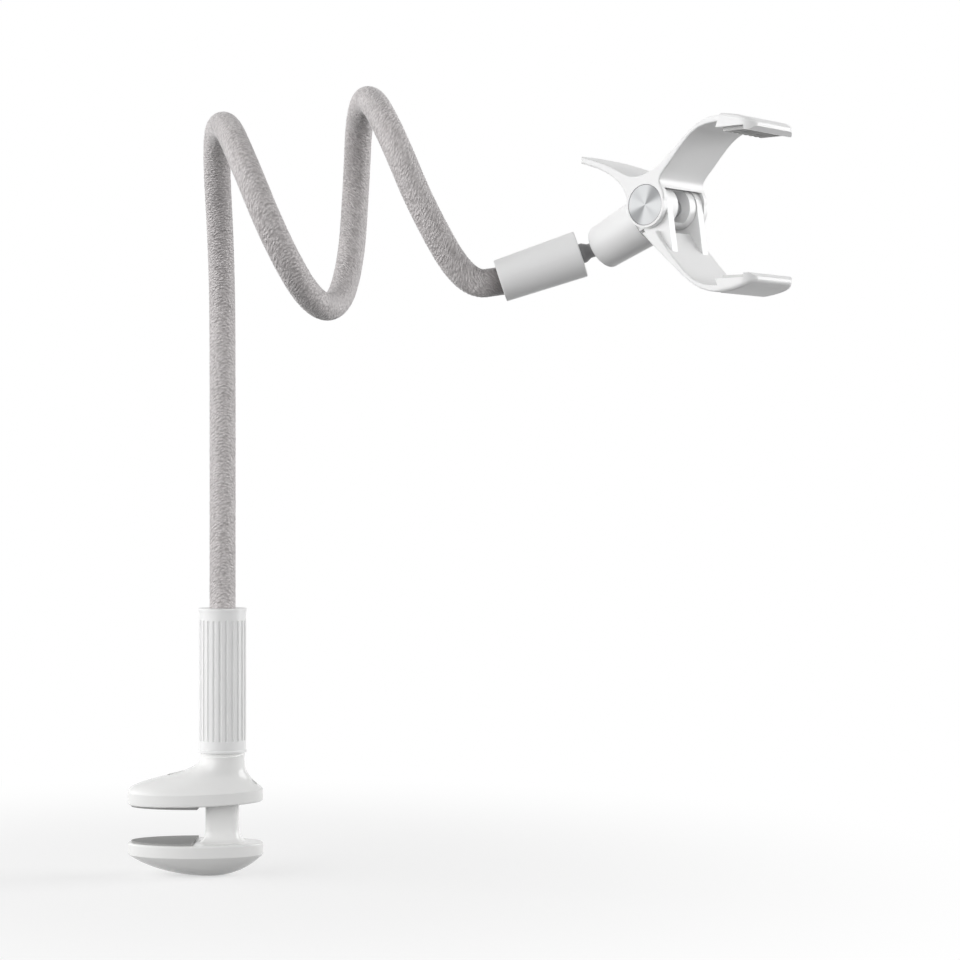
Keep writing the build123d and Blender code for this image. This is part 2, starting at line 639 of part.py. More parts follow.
# Housing from the ball to the pivot, with the tongue that the pin goes through
with BuildPart() as socket_housing:
    shoulder = BALL_FROM_PIVOT - HOUSING_SHOULDER
    taper(socket, -MOUTH, shoulder, mouth_r, HOUSING_R)
    fillet(socket_housing.edges().sort_by(Axis.Y)[-1], MOUTH_EDGE)
    with BuildSketch(clip):
        Circle(TONGUE_R)
        with Locations(Location((0, 0), 180 + HOUSING_DROP)):
            Rectangle(HOUSING_SHOULDER + TONGUE_ROOT, 2 * TONGUE_NECK, align=(Align.MIN, Align.CENTER))
    extrude(amount=TONGUE_HALF, both=True)
    with BuildSketch(clip):
        Circle(spring_slot_r)
        Rectangle(2 * TONGUE_R, 2 * spring_slot_r, align=(Align.MIN, Align.CENTER))
    extrude(amount=SPRING_HALF + SPRING_SIDE, both=True, mode=Mode.SUBTRACT)
    with BuildSketch(clip):
        Circle(PIN_R + RUN)
        with Locations((-LOCK_AT * cos(drop), -LOCK_AT * sin(drop))):
            Circle(LOCK_R + SEAT)
    extrude(amount=HOUSING_R * 2, both=True, mode=Mode.SUBTRACT)
    rod(socket, -MOUTH, -RING_BACK, ring_r + SEAT, Mode.SUBTRACT)
    with Locations(ball_at):
        Sphere(seat_r + RUN, mode=Mode.SUBTRACT)
socket_housing.part.label = "socket_housing"
export_step(socket_housing.part, "parts/socket_housing.step")

# Lower clip arm: wing jaw, curved arm and two lugs beside the tongue
lower_clip_jaw = clip_jaw(LOWER)
with BuildPart() as lower_arm:
    outside = [LOWER_TIP, LOWER_BEND] + from_slot(ARM_OUT, LOWER)[::-1]
    inside = from_slot(ARM_IN, LOWER)[::-1] + LOWER_ROOT
    with BuildSketch(clip):
        with BuildLine():
            Spline(*outside)
            Line(outside[-1], inside[0])
            Spline(*inside)
            Line(inside[-1], outside[0])
        make_face()
    extrude(amount=arm_half, both=True)
    round_sides(lower_arm)
    add(lower_clip_jaw)
    for side in (1, -1):
        with BuildSketch(clip.offset(side * lower_lug_in)):
            Circle(LOWER_LUG_R)
            with BuildLine():
                foot = from_slot(ARM_IN, LOWER)[0]
                Polyline((-LOWER_LUG_R, 0), (LOWER_LUG_R, 0), foot, LOWER_BEND, LOWER_TIP, close=True)
            make_face()
            Circle(PIN_R + RUN, mode=Mode.SUBTRACT)
            with Locations((-LOCK_AT * cos(drop), -LOCK_AT * sin(drop))):
                Circle(LOCK_R + SEAT, mode=Mode.SUBTRACT)
        extrude(amount=side * (lower_lug_out - lower_lug_in))
lower_arm.part.label = "lower_arm"
export_step(lower_arm.part, "parts/lower_arm.step")

# Upper clip arm: wing jaw, curved arm, cheeks with the pivot lugs, and the thumb tail
upper_clip_jaw = clip_jaw(UPPER)
with BuildPart() as upper_arm:
    low = TAIL_LOW + [lug_back]
    inside = [lug_side] + ARM_ROOT_IN + from_slot(ARM_IN, UPPER)
    outside = from_slot(ARM_OUT, UPPER) + ARM_ROOT_OUT
    with BuildSketch(clip):
        with BuildLine():
            Spline(*low)
            Polyline(lug_back, (0, 0), lug_side)
            Spline(*inside)
            Line(inside[-1], outside[0])
            Spline(*outside)
            Spline(outside[-1], *TAIL_UP)
            Line(TAIL_UP[-1], TAIL_LOW[0])
        make_face()
        Circle(LUG_R)
    extrude(amount=arm_half, both=True)
    round_sides(upper_arm)
    add(upper_clip_jaw)
    with BuildSketch(clip):
        Circle(LOWER_LUG_R + HUB_ROOM)
        with BuildLine():
            Polyline(*TAIL_HOLLOW, close=True)
        make_face()
    extrude(amount=cheek_in, both=True, mode=Mode.SUBTRACT)
    with BuildSketch(clip):
        Circle(PIN_R + RUN)
    extrude(amount=arm_half, both=True, mode=Mode.SUBTRACT)
    with BuildSketch(Plane.XY):
        with BuildLine():
            tail_y = PIVOT_Y - TAIL_LOW[0][0]
            near = (CLIP_X - arm_half, tail_y - TAIL_BOW)
            far = (CLIP_X + arm_half, tail_y - TAIL_BOW)
            ThreePointArc(near, (CLIP_X, tail_y), far)
            Polyline(far, (CLIP_X + 2 * arm_half, tail_y), (CLIP_X + 2 * arm_half, tail_y + TAIL_BOW),
                     (CLIP_X - 2 * arm_half, tail_y + TAIL_BOW), (CLIP_X - 2 * arm_half, tail_y), near)
        make_face()
    extrude(amount=2 * PIVOT_Z, mode=Mode.SUBTRACT)
    for side in (1, -1):
        with BuildSketch(clip.offset(side * arm_half)):
            Circle(DISC_R + SEAT)
        extrude(amount=-side * DISC_RECESS, mode=Mode.SUBTRACT)
upper_arm.part.label = "upper_arm"
export_step(upper_arm.part, "parts/upper_arm.step")

# Rubber in the two clip jaws
with BuildPart() as lower_arm_pad:
    grip_pad(LOWER)
lower_arm_pad.part.label = "lower_arm_pad"
export_step(lower_arm_pad.part, "parts/lower_arm_pad.step")

with BuildPart() as upper_arm_pad:
    grip_pad(UPPER)
upper_arm_pad.part.label = "upper_arm_pad"
export_step(upper_arm_pad.part, "parts/upper_arm_pad.step")

# Pivot pin, the dowel that locks the lower arm to the housing, and the spring
with BuildPart() as pivot_pin:
    rod(clip, -pin_half, pin_half, PIN_R)
pivot_pin.part.label = "pivot_pin"
export_step(pivot_pin.part, "parts/pivot_pin.step")

with BuildPart() as lock_dowel:
    with BuildSketch(clip.offset(-lower_lug_out)):
        with Locations((-LOCK_AT * cos(drop), -LOCK_AT * sin(drop))):
            Circle(LOCK_R)
    extrude(amount=2 * lower_lug_out)
lock_dowel.part.label = "lock_dowel"
export_step(lock_dowel.part, "parts/lock_dowel.step")

with BuildPart() as clip_spring:
    rod(clip, -SPRING_HALF, SPRING_HALF, SPRING_R)
    rod(clip, -SPRING_HALF, SPRING_HALF, SPRING_R - SPRING_WALL, Mode.SUBTRACT)
clip_spring.part.label = "clip_spring"
export_step(clip_spring.part, "parts/clip_spring.step")

# Turned aluminium discs let into the lugs
with BuildPart() as left_disc:
    rod(clip, arm_half - DISC_RECESS, arm_half - DISC_RECESS + DISC_T, DISC_R)
left_disc.part.label = "left_disc"
export_step(left_disc.part, "parts/left_disc.step")

with BuildPart() as right_disc:
    rod(clip, DISC_RECESS - arm_half - DISC_T, DISC_RECESS - arm_half, DISC_R)
right_disc.part.label = "right_disc"
export_step(right_disc.part, "parts/right_disc.step")
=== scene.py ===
from math import cos, radians, sin

import bpy
import numpy as np
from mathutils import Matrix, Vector


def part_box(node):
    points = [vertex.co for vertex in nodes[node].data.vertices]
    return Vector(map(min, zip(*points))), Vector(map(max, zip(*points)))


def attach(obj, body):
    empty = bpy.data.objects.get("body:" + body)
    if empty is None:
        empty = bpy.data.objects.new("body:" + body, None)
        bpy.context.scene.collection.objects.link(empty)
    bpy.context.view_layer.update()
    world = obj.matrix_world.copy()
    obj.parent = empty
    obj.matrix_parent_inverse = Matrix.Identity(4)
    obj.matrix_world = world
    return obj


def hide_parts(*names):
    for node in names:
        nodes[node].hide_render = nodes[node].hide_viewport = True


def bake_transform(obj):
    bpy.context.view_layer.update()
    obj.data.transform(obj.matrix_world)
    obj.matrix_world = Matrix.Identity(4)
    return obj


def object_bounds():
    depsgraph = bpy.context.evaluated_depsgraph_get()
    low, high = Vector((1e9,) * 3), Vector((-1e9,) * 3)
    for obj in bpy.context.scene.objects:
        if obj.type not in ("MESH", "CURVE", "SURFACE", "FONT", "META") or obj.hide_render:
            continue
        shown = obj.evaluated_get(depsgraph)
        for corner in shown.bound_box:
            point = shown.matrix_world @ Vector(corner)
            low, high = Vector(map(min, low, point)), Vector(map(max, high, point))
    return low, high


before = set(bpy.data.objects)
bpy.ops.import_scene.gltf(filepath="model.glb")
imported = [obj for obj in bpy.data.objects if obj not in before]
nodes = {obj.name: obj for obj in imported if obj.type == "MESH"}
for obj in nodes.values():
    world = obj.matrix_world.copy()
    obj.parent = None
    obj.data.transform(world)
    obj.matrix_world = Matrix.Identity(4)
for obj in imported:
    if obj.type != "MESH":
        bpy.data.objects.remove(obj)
cad_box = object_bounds()


# Clamp mouldings: upper jaw with its domed top, lower jaw with the post, and the cover under it.
# White ABS from polished tools, snapped together, so the lights show on it as clear soft shapes.
JAW_WHITE = ("#F3F3F2", "#EEEEED")
JAW_GLOSS = (0.10, 0.17)    # roughness, from the first tone to the second
MELT_FLOW = 0.030           # width of the clouds that the melt leaves in the tone
TOOL_WAVE = 0.006           # width of the slow waves in a polished face
TOOL_WAVE_DEPTH = 0.00002
ABS_IOR = 1.54


def linear(code):
    """sRGB hex code to linear red, green, blue and alpha."""
    share = np.array([int(code[i:i + 2], 16) for i in (1, 3, 5)]) / 255
    light = np.where(share <= 0.04045, share / 12.92, ((share + 0.055) / 1.055) ** 2.4)
    return (*light.tolist(), 1.0)


def add(tree, kind, sockets=None, **settings):
    """Adds a node with its settings, and gives each socket a value or another node's output.
    Sockets that share a name go by number: a Mix node's numbers are 2 and 3, its colours 6 and 7."""
    made = tree.nodes.new("ShaderNode" + kind)
    for name, value in settings.items():
        setattr(made, name, value)
    for key, value in (sockets or {}).items():
        if isinstance(value, bpy.types.NodeSocket):
            tree.links.new(value, made.inputs[key])
        else:
            made.inputs[key].default_value = value
    return made


def new_material(name):
    """An empty material, and its node tree."""
    material = bpy.data.materials.new(name)
    material.use_nodes = True
    material.node_tree.nodes.clear()
    return material, material.node_tree


def shade_face(tree, clouds, tones, gloss, relief, **own):
    """The end that moulded, cast and turned faces share: tone and roughness go from the first of
    their pair to the second with the clouds, over the relief, with the shader's own values."""
    tone = add(tree, "Mix", {0: clouds, 6: linear(tones[0]), 7: linear(tones[1])}, data_type="RGBA")
    rough = add(tree, "MapRange", {"Value": clouds, "To Min": gloss[0], "To Max": gloss[1]})
    shader = add(tree, "BsdfPrincipled", {
        "Base Color": tone.outputs[2], "Roughness": rough.outputs[0], "Normal": relief, **own})
    add(tree, "OutputMaterial", {"Surface": shader.outputs[0]})


def moulded_abs(name, tones, gloss, grit, depth):
    """Injection moulded ABS: clouds of melt in the tone, gloss that varies a little with them,
    and the tool's face as relief, with features of width grit and the given depth, in metres."""
    material, tree = new_material(name)
    place = add(tree, "TexCoord").outputs["Object"]
    flow = add(tree, "TexNoise", {"Vector": place, "Scale": 1 / MELT_FLOW, "Detail": 3.0}).outputs[0]
    face = add(tree, "TexNoise", {"Vector": place, "Scale": 1 / grit, "Detail": 2.0}).outputs[0]
    relief = add(tree, "Bump", {"Strength": 1.0, "Distance": depth, "Height": face}).outputs[0]
    shade_face(tree, flow, tones, gloss, relief, IOR=ABS_IOR)
    return material


def dress(material, *names):
    """Gives CAD nodes a material."""
    for name in names:
        nodes[name].data.materials.clear()
        nodes[name].data.materials.append(material)


polished_abs = moulded_abs("polished_white_abs", JAW_WHITE, JAW_GLOSS, TOOL_WAVE, TOOL_WAVE_DEPTH)
dress(polished_abs, "upper_jaw", "lower_jaw", "lower_jaw_cover")


# Clamp pads: a rubber sheet on each jaw, pressed into its pocket, with a tab in the top jaw's window.
# Grey moulded rubber with a matt, slightly dusty face.
PAD_GREY = ("#969695", "#A6A6A5")
PAD_GLOSS = (0.66, 0.80)
PAD_GRAIN, PAD_GRAIN_DEPTH = 0.0007, 0.00006
DUST_PATCH = 12             # width of the dusty patches, in grains
RUBBER_IOR = 1.52


def moulded_rubber(name, tones, gloss, grain, depth):
    """Moulded rubber: a fine pebbled face of the given grain and depth, paler where it is dusty."""
    material, tree = new_material(name)
    place = add(tree, "TexCoord").outputs["Object"]
    patch = 1 / (DUST_PATCH * grain)
    dust = add(tree, "TexNoise", {"Vector": place, "Scale": patch, "Detail": 4.0}).outputs[0]
    pebble = add(tree, "TexVoronoi", {"Vector": place, "Scale": 1 / grain}).outputs["Distance"]
    relief = add(tree, "Bump", {"Strength": 1.0, "Distance": depth, "Height": pebble}, invert=True)
    shade_face(tree, dust, tones, gloss, relief.outputs[0], IOR=RUBBER_IOR)
    return material


clamp_rubber = moulded_rubber("moulded_grey_rubber", PAD_GREY, PAD_GLOSS, PAD_GRAIN, PAD_GRAIN_DEPTH)
dress(clamp_rubber, "upper_jaw_pad", "lower_jaw_pad")


# Screw, nut, clip and collar inside the clamp: they turn the grip's turning into the jaw's travel.
# Turned zinc-plated steel, a turned brass nut, and a nylon collar.
STEEL, STEEL_GLOSS = ("#B9BABC", "#C9CACB"), (0.25, 0.37)
BRASS, BRASS_GLOSS = ("#B08D57", "#C2A063"), (0.23, 0.35)
NYLON, NYLON_GLOSS = ("#DEDCD6", "#E8E6E0"), (0.42, 0.49)
NYLON_GRIT, NYLON_DEPTH = 0.0012, 0.00002
TURNING = 0.0004            # tool marks, by the radian: 2.5 mm apart, coarser than real ones, to show
WAVE_RADIANS = 20           # what the wave texture goes through in a unit of its scale
TURNING_DEPTH, TURNING_SHARE = 0.00001, 0.4       # depth of the marks, and the share that shows
MARK_WANDER = 1.5           # how far the marks wander, in radians
STAIN = 0.008               # width of the clouds in the metal's tone


def turned_metal(name, tones, gloss):
    """Turned metal: tool marks as fine bands along the upright axis that the pieces were turned about."""
    material, tree = new_material(name)
    place = add(tree, "TexCoord").outputs["Object"]
    marks = add(tree, "TexWave", {
        "Vector": place, "Scale": 1 / (WAVE_RADIANS * TURNING), "Distortion": MARK_WANDER},
        bands_direction="Z").outputs[1]
    stain = add(tree, "TexNoise", {"Vector": place, "Scale": 1 / STAIN, "Detail": 3.0}).outputs[0]
    relief = add(tree, "Bump", {"Strength": TURNING_SHARE, "Distance": TURNING_DEPTH, "Height": marks})
    shade_face(tree, stain, tones, gloss, relief.outputs[0], Metallic=1.0)
    return material


plated_steel = turned_metal("turned_plated_steel", STEEL, STEEL_GLOSS)
turned_brass = turned_metal("turned_brass", BRASS, BRASS_GLOSS)
nylon = moulded_abs("moulded_nylon", NYLON, NYLON_GLOSS, NYLON_GRIT, NYLON_DEPTH)
dress(plated_steel, "clamp_screw", "screw_clip")
dress(turned_brass, "jaw_nut")
dress(nylon, "grip_collar")


# Grip and its cap: the fluted barrel that turns on the jaw's boss, closed by a cap round the neck.
# White ABS with a satin face from a blasted tool, so its ribs shade softly.
SATIN_WHITE = ("#F0F0F0", "#EAEAEA")
SATIN_GLOSS = (0.27, 0.34)
BLASTED = 0.0009            # the blasted texture, drawn coarser than the real 0.2 mm so that it shows
BLASTED_DEPTH = 0.000012

satin_abs = moulded_abs("satin_white_abs", SATIN_WHITE, SATIN_GLOSS, BLASTED, BLASTED_DEPTH)
dress(satin_abs, "grip", "grip_cap")


# Neck: a steel core that keeps the bend it is given, in a moulded skin with a leather grain, between
# a steel ferrule and a steel cup. The skin is light grey PVC: its wrinkles are in the mesh, the fine
# creases between them in the material, and its far end is smoothed by the sleeve. Painted shade darkens
# the creases and that end, and painted light pales the wrinkles' backs.
VIEW_YAW = radians(-50.3)   # the camera's turn: the points here run across, along and up in its view
SKIN_R = 0.0075
NECK_FOOT = 0.0985
COLUMN = np.array([[0, 0, NECK_FOOT], [0, 0, 0.110], [0.0001, 0, 0.230], [-0.0002, 0, 0.311]])
COIL_MID = np.array([0.0175, -0.0895, 0.3265])
COIL_R, COIL_PITCH = 0.0526, 0.0787
COIL_RISE, COIL_YAW = radians(9.67), radians(-2.33)
COIL_START, COIL_STEP = -27.5, 45.0               # degrees about the coil's axis, from the top
COIL_POINTS = 12
COIL_LEAD = np.array([-0.0022, 0, 0])             # its first point is moved, to follow the real bend
SLEEVE_AT = np.array([0.1587, -0.1365, 0.2916])
END_WAY = np.array([0.9893, -0.0448, 0.1390])     # it goes into the sleeve a little flatter than that lies
END_STEPS = np.array([-0.0178, 0.003, 0.014])     # along that way, from the sleeve's mouth
LINE_STEPS = 64             # points on the line for each of its corners
RINGS, SPOKES = 1320, 75    # along the neck and round it
GRAIN_SEED = 11
WRINKLE = 0.0017            # from one wrinkle to the next
WRINKLE_BAND = 0.3          # how far that strays, as a share of it
WRINKLE_FAN = 0.8           # how far wrinkles stray from running round the neck, in radians
WRINKLE_ARCH = 0.0060       # how far they climb towards the front of the neck
WRINKLE_TURN = 0.25         # where they are highest, in radians from the front
WRINKLE_CLIP = 1.3          # how firmly their tops and bottoms are flattened
WRINKLE_DEPTH = 0.00017
WRINKLE_SINK = 0.8          # how far their middle lies under the skin's size, in depths
SMOOTHED_SHADED_END = 0.013             # length outside the sleeve's mouth where the grain is smoothed and painted shade darkens the skin
PEBBLE = (0.0019, 0.0012)   # length and width of the pebbles that fine creases part
PEBBLE_DEPTH = 0.0006
SKIN_SHADE_AND_WEAR_TONES = ("#A29E9E", "#D3CFCF", "#D8D5D5")    # painted shade in the creases, painted light on the backs, and where it is worn
# painted shade on the skin's end by the sleeve's mouth
PAINTED_END_SHADE = "#6E6A6A"
CREASE_SHADE_SHARE = 4.0          # how much a fine crease's painted shade counts in the tone, next to a wrinkle
GRAIN_SHADE_ENDS = (-3.6, -0.4)   # where that sum gives the darkest painted shade and the palest painted light
WEAR = 0.020                # width of the worn patches
SKIN_GLOSS = (0.48, 0.34)   # roughness in the creases and on the backs
SKIN_SHEEN, SHEEN_ROUGHNESS = 0.30, 0.40
PVC_IOR = 1.53

turn = np.array([[cos(VIEW_YAW), -sin(VIEW_YAW), 0], [sin(VIEW_YAW), cos(VIEW_YAW), 0], [0, 0, 1]])


def unit(vectors):
    """Vectors scaled to length one."""
    return vectors / np.linalg.norm(vectors, axis=-1, keepdims=True)


def neck_corners():
    """The neck's route: up the column, round a helix about a rising axis, and into the sleeve.
    Helix point at angle a: middle + axis * pitch * a / turn + radius * (up * cos a + front * sin a)."""
    axis = np.array([cos(COIL_RISE) * cos(COIL_YAW), cos(COIL_RISE) * sin(COIL_YAW), sin(COIL_RISE)])
    up = unit(np.array([0, 0, 1.0]) - axis * axis[2])
    front = np.cross(axis, up)
    front = front * -np.sign(front[1])
    out = COIL_R / cos(radians(COIL_STEP / 2))
    a = np.radians(COIL_START + COIL_STEP * np.arange(COIL_POINTS))[:, None]
    coil = COIL_MID + axis * COIL_PITCH * a / (2 * np.pi) + out * (up * np.cos(a) + front * np.sin(a))
    coil[0] += COIL_LEAD
    end = SLEEVE_AT + END_STEPS[:, None] * END_WAY
    return np.vstack([COLUMN, coil, end]) @ turn.T, turn @ axis


def smooth_line(corners, count):
    """Points at equal steps on the quadratic NURBS that has these corners as its control points."""
    curve = bpy.data.curves.new("neck_line", "CURVE")
    curve.dimensions = "3D"
    curve.resolution_u = LINE_STEPS
    spline = curve.splines.new("NURBS")
    spline.points.add(len(corners) - 1)
    spline.points.foreach_set("co", np.hstack([corners, np.ones((len(corners), 1))]).ravel())
    spline.order_u = 3
    spline.use_endpoint_u = True
    line = bpy.data.objects.new("neck_line", curve)
    drawn = bpy.data.meshes.new_from_object(line)
    points = np.empty(len(drawn.vertices) * 3)
    drawn.vertices.foreach_get("co", points)
    points = points.reshape(-1, 3)
    bpy.data.objects.remove(line)
    bpy.data.curves.remove(curve)
    bpy.data.meshes.remove(drawn)
    gone = np.append(0, np.cumsum(np.linalg.norm(np.diff(points, axis=0), axis=1)))
    steps = np.linspace(0, gone[-1], count)
    return np.stack([np.interp(steps, gone, points[:, i]) for i in range(3)], axis=1), steps


def leather_grain(rings, spokes, along, around):
    """Wrinkles as random noise that keeps only waves one wrinkle long, fanned about the neck's line:
    a ring sector of its spectrum. Each spoke is slid along by arch * cos(angle - turn), by turning
    the phase of its waves, and the whole is softly clipped."""
    noise = np.fft.fft2(np.random.default_rng(GRAIN_SEED).standard_normal((rings, spokes)))
    waves_along = np.fft.fftfreq(rings, along)[:, None]
    waves_round = np.fft.fftfreq(spokes, around)[None, :]
    spacing = np.hypot(waves_along, waves_round) * WRINKLE
    stray = np.arctan2(np.abs(waves_round), np.abs(waves_along))
    kept = np.exp(-((spacing - 1) / WRINKLE_BAND) ** 2 - (stray / WRINKLE_FAN) ** 2)
    slide = WRINKLE_ARCH * np.cos(2 * np.pi * np.arange(spokes) / spokes - WRINKLE_TURN)
    slid = np.fft.ifft(noise * kept, axis=1) * np.exp(-2j * np.pi * waves_along * slide)
    field = np.fft.ifft(slid, axis=0).real
    return np.tanh(WRINKLE_CLIP * field / field.std())


def grid_mesh(name, points, caps):
    """A closed tube from rings of points, shape (rings, spokes, 3), with a fan at each end.
    caps gives the two end middles; faces point away from the tube's line."""
    rings, spokes = points.shape[:2]
    at = np.arange(rings * spokes).reshape(rings, spokes)
    beside = np.roll(at, -1, axis=1)
    sides = np.stack([at[:-1], beside[:-1], beside[1:], at[1:]], axis=-1).reshape(-1, 4)
    first, last = rings * spokes, rings * spokes + 1
    fans = np.vstack([
        np.stack([np.full(spokes, first), beside[0], at[0]], axis=1),
        np.stack([np.full(spokes, last), at[-1], beside[-1]], axis=1)])
    mesh = bpy.data.meshes.new(name)
    mesh.from_pydata(np.vstack([points.reshape(-1, 3), caps]), [], sides.tolist() + fans.tolist())
    mesh.polygons.foreach_set("use_smooth", np.ones(len(mesh.polygons), bool))
    piece = bpy.data.objects.new(name, mesh)
    bpy.context.scene.collection.objects.link(piece)
    return piece


def give_points(piece, name, values, ends):
    """Gives a tube's points a named attribute, a number or a vector each. ends holds what its two
    end middles get."""
    vectors = values.ndim == 3
    kind, field = ("FLOAT_VECTOR", "vector") if vectors else ("FLOAT", "value")
    listed = np.append(values.ravel(), ends).astype(np.float32)
    piece.data.attributes.new(name, kind, "POINT").data.foreach_set(field, listed)


def neck_tube():
    """A ring of spokes round each point of the line: centre + radius * (side * cos a + lift * sin a).
    side starts square to the coil's axis, and is turned back by its own twist, so the grain runs true."""
    corners, axis = neck_corners()
    centre, gone = smooth_line(corners, RINGS)
    ahead = unit(np.gradient(centre, axis=0))
    side = unit(np.cross(axis, ahead))
    lift = np.cross(ahead, side)
    twist = np.cumsum((np.gradient(side, axis=0) * lift).sum(axis=1))[:, None]
    side, lift = side * np.cos(twist) - lift * np.sin(twist), side * np.sin(twist) + lift * np.cos(twist)
    angle = np.linspace(0, 2 * np.pi, SPOKES, endpoint=False)[None, :, None]
    grain = leather_grain(RINGS, SPOKES, gone[1], 2 * np.pi * SKIN_R / SPOKES)
    mouth = gone[-1] - END_STEPS[-1]
    # the grain is smoothed towards the sleeve's mouth, and the same share carries painted shade there
    smoothing_and_shade = np.clip((gone - mouth) / SMOOTHED_SHADED_END + 1, 0, 1)[:, None]
    smoothing_and_shade = np.broadcast_to(smoothing_and_shade * smoothing_and_shade * (3 - 2 * smoothing_and_shade), grain.shape)
    grain = grain * (1 - smoothing_and_shade)
    radius = (SKIN_R + WRINKLE_DEPTH * (grain - WRINKLE_SINK))[:, :, None]
    out = side[:, None] * np.cos(angle) + lift[:, None] * np.sin(angle)
    piece = grid_mesh("neck_tube", centre[:, None] + radius * out, centre[[0, -1]])
    arched = gone[:, None, None] - WRINKLE_ARCH * np.cos(angle - WRINKLE_TURN)
    straight = np.concatenate([
        np.broadcast_to(SKIN_R * np.cos(angle), (RINGS, SPOKES, 1)),
        np.broadcast_to(SKIN_R * np.sin(angle), (RINGS, SPOKES, 1)), arched], axis=2)
    give_points(piece, "straight", straight, [0, 0, 0, 0, 0, gone[-1]])
    give_points(piece, "ridge", grain, [0, 0])
    give_points(piece, "smoothed_and_shaded", smoothing_and_shade, [0, 1])
    return piece


def grained_skin():
    """Soft PVC skin: painted shade darkens the creases between its wrinkles and painted light pales their
    smoother backs, with fine creases between, paler worn patches, painted shade on the end by the sleeve,
    and a velvety sheen where it turns away."""
    material, tree = new_material("grained_grey_pvc")
    place = add(tree, "Attribute", attribute_name="straight").outputs["Vector"]
    ridge = add(tree, "Attribute", attribute_name="ridge").outputs["Fac"]
    smoothed_and_shaded = add(tree, "Attribute", attribute_name="smoothed_and_shaded").outputs["Fac"]
    fine = add(tree, "VectorMath", {0: place, 1: (1 / PEBBLE[0], 1 / PEBBLE[0], 1 / PEBBLE[1])},
               operation="MULTIPLY").outputs[0]
    creases = add(tree, "TexVoronoi", {"Vector": fine, "Scale": 1.0}).outputs["Distance"]
    cloud = add(tree, "TexNoise", {"Vector": place, "Scale": 1 / WEAR, "Detail": 3.0}).outputs[0]
    # painted shade in the creases and painted light on the wrinkles' backs
    grain = add(tree, "Math", {0: creases, 1: -CREASE_SHADE_SHARE, 2: ridge}, operation="MULTIPLY_ADD").outputs[0]
    shade_share = add(tree, "MapRange", {"Value": grain, "From Min": GRAIN_SHADE_ENDS[0], "From Max": GRAIN_SHADE_ENDS[1]})
    tone = add(tree, "Mix", {0: shade_share.outputs[0], 6: linear(SKIN_SHADE_AND_WEAR_TONES[0]), 7: linear(SKIN_SHADE_AND_WEAR_TONES[1])},
               data_type="RGBA")
    worn = add(tree, "Mix", {0: cloud, 6: tone.outputs[2], 7: linear(SKIN_SHADE_AND_WEAR_TONES[2])},
               data_type="RGBA", blend_type="SOFT_LIGHT")
    # painted shade on the end by the sleeve
    skin = add(tree, "Mix", {0: smoothed_and_shaded, 6: worn.outputs[2], 7: linear(PAINTED_END_SHADE)}, data_type="RGBA")
    gloss = add(tree, "MapRange", {"Value": ridge, "From Min": -1.0, "From Max": 1.0,
                                   "To Min": SKIN_GLOSS[0], "To Max": SKIN_GLOSS[1]})
    relief = add(tree, "Bump", {"Strength": 1.0, "Distance": PEBBLE_DEPTH, "Height": creases}, invert=True)
    shader = add(tree, "BsdfPrincipled", {
        "Base Color": skin.outputs[2], "Roughness": gloss.outputs[0], "IOR": PVC_IOR,
        "Sheen Weight": SKIN_SHEEN, "Sheen Roughness": SHEEN_ROUGHNESS, "Normal": relief.outputs[0]})
    add(tree, "OutputMaterial", {"Surface": shader.outputs[0]})
    return material


dress(plated_steel, "neck_ferrule", "neck_cup")
neck = neck_tube()
neck.data.materials.append(grained_skin())
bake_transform(neck)
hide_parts("neck_skin", "neck_core")


# Sleeve over the neck's far end and the plug in it, which the stud passes through.
# The same satin white ABS as the grip, pushed on over the steel cup.
dress(satin_abs, "end_sleeve", "sleeve_plug")


# Ball joint: a grey ball stud on a nylon seat, held in the housing by a ring; the housing ends in the
# clip's tongue. The stud is painted die-cast metal, and ring and housing are satin white ABS.
STUD_GREY = ("#8E8E8F", "#989899")
STUD_GLOSS = (0.34, 0.43)
PEEL, PEEL_DEPTH = 0.001, 0.000015
COAT_CLOUD = 0.006          # width of the clouds in the coat's tone
PAINT_IOR = 1.5


def painted_casting(name, tones, gloss):
    """Painted die casting: an even semi-gloss coat with a faint orange peel about 1 mm wide."""
    material, tree = new_material(name)
    place = add(tree, "TexCoord").outputs["Object"]
    peel = add(tree, "TexNoise", {"Vector": place, "Scale": 1 / PEEL, "Detail": 1.0}).outputs[0]
    cloud = add(tree, "TexNoise", {"Vector": place, "Scale": 1 / COAT_CLOUD, "Detail": 3.0}).outputs[0]
    relief = add(tree, "Bump", {"Strength": 1.0, "Distance": PEEL_DEPTH, "Height": peel}).outputs[0]
    shade_face(tree, cloud, tones, gloss, relief, IOR=PAINT_IOR)
    return material


dress(painted_casting("painted_grey_casting", STUD_GREY, STUD_GLOSS), "ball_stud")
dress(nylon, "ball_seat")
dress(satin_abs, "socket_housing", "socket_ring")


# Clip: lower arm fixed to the housing, upper arm with the thumb tail, and a ribbed pad in each jaw.
# The arms are satin white ABS, and the pads soft pale silicone with ridges across the jaw.
SILICONE = ("#C9C9C8", "#D6D6D5")
SILICONE_GLOSS = (0.54, 0.68)
SILICONE_GRAIN, SILICONE_DEPTH = 0.0006, 0.00004

clip_silicone = moulded_rubber(
    "moulded_pale_silicone", SILICONE, SILICONE_GLOSS, SILICONE_GRAIN, SILICONE_DEPTH)
dress(satin_abs, "lower_arm", "upper_arm")
dress(clip_silicone, "lower_arm_pad", "upper_arm_pad")


# Hinge: pin, dowel and torsion spring of plated steel, hidden between the arms.
# They are cut and wound from drawn wire and bar.
dress(plated_steel, "pivot_pin", "lock_dowel", "clip_spring")


